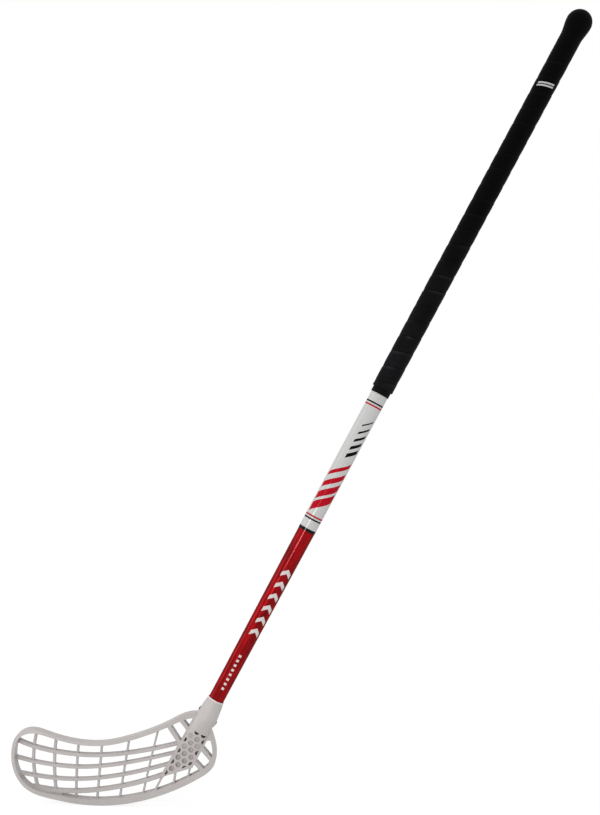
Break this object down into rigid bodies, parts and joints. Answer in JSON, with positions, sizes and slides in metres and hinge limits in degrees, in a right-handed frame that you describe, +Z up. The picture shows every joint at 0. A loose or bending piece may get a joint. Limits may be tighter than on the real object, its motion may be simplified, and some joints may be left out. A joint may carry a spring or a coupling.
{
  "type": "floorball stick",
  "caption": "Floorball stick: light tapered round shaft with a wound cushioned grip and knob, and a hooked open-grid plastic blade screwed to its lower end.",
  "frame": {"origin": "middle of the straight grip, on the shaft axis", "axes": "playing pose: +Z up, +X towards the side the knob leans to, -X towards the toe, +Y the way the toe curls"},
  "size_m": [0.7287, 0.0453, 0.9957],
  "materials": {
    "red_lacquer": "glossy red lacquer on a glass-fibre composite tube",
    "white_film": "glossy white film",
    "black_tape": "satin black tape",
    "black_plastic": "matt black moulded plastic",
    "black_grip": "matt black foamed grip tape",
    "grey_plastic": "satin warm light grey moulded polyethylene",
    "dark_steel": "blackened steel"
  },
  "bodies": {
    "stick": {"shaft_tube": "red_lacquer", "white_film_sleeve": "white_film", "stripe_tape": "black_tape", "grip_finishing_band": "black_tape", "butt_plug": "black_plastic", "grip_wrap": "black_grip", "blade": "grey_plastic"},
    "left_screw": {"blade_screw_left": "dark_steel"},
    "right_screw": {"blade_screw_right": "dark_steel"}
  },
  "joints": [
    {"name": "left_screw_out", "type": "slide", "parent": "stick", "child": "left_screw", "axis": [-0.8813, 0, 0.4726], "range_m": [0, 0.012]},
    {"name": "right_screw_out", "type": "slide", "parent": "stick", "child": "right_screw", "axis": [0.8813, 0, -0.4726], "range_m": [0, 0.012]}
  ]
}
